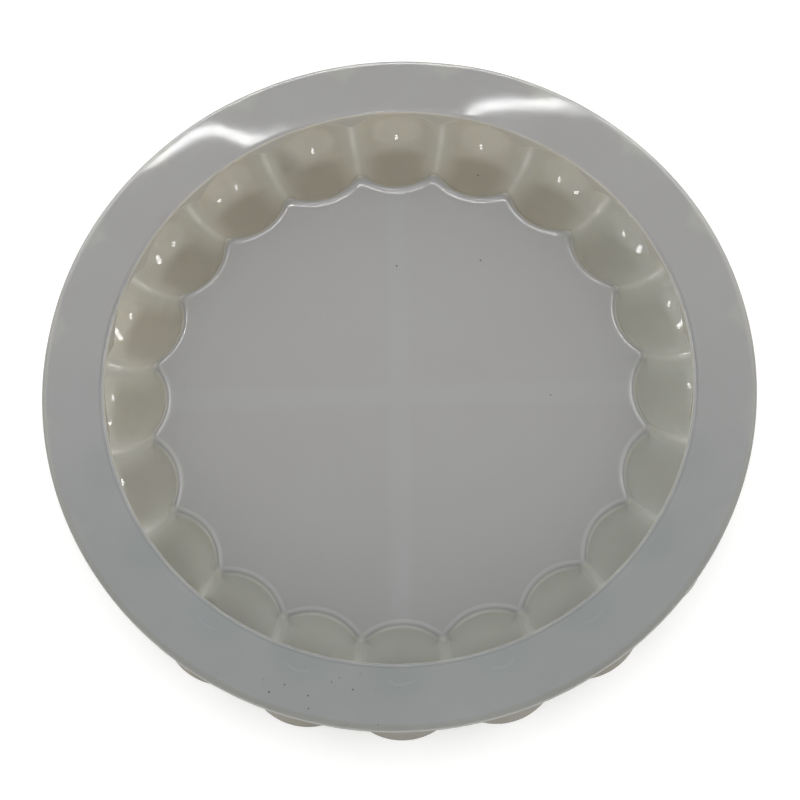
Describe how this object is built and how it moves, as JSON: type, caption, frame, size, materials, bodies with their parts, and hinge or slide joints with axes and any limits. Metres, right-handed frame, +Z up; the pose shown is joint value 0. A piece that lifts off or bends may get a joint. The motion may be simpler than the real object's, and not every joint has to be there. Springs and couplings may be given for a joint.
{
  "type": "resin casting mould",
  "caption": "Round open silicone mould with a wide flat rim, a ring of ball-shaped pockets, a raised scalloped deck and crossing ribs under it.",
  "frame": {"origin": "centre of the base plane that the mould rests on", "axes": "+Z up along the mould's axis, open side up; +X through the middle of pocket_01, +Y through pocket_06"},
  "size_m": [0.2, 0.2, 0.033],
  "materials": {
    "silicone": "milky translucent silicone, glossy and slightly wavy on top"
  },
  "bodies": {
    "root": {"rim_flange": "silicone", "deck": "silicone", "rib_cross": "silicone", "rib_back": "silicone", "rib_front": "silicone", "pocket_01": "silicone", "pocket_02": "silicone", "pocket_03": "silicone", "pocket_04": "silicone", "pocket_05": "silicone", "pocket_06": "silicone", "pocket_07": "silicone", "pocket_08": "silicone", "pocket_09": "silicone", "pocket_10": "silicone", "pocket_11": "silicone", "pocket_12": "silicone", "pocket_13": "silicone", "pocket_14": "silicone", "pocket_15": "silicone", "pocket_16": "silicone", "pocket_17": "silicone", "pocket_18": "silicone", "pocket_19": "silicone", "pocket_20": "silicone"}
  },
  "joints": []
}
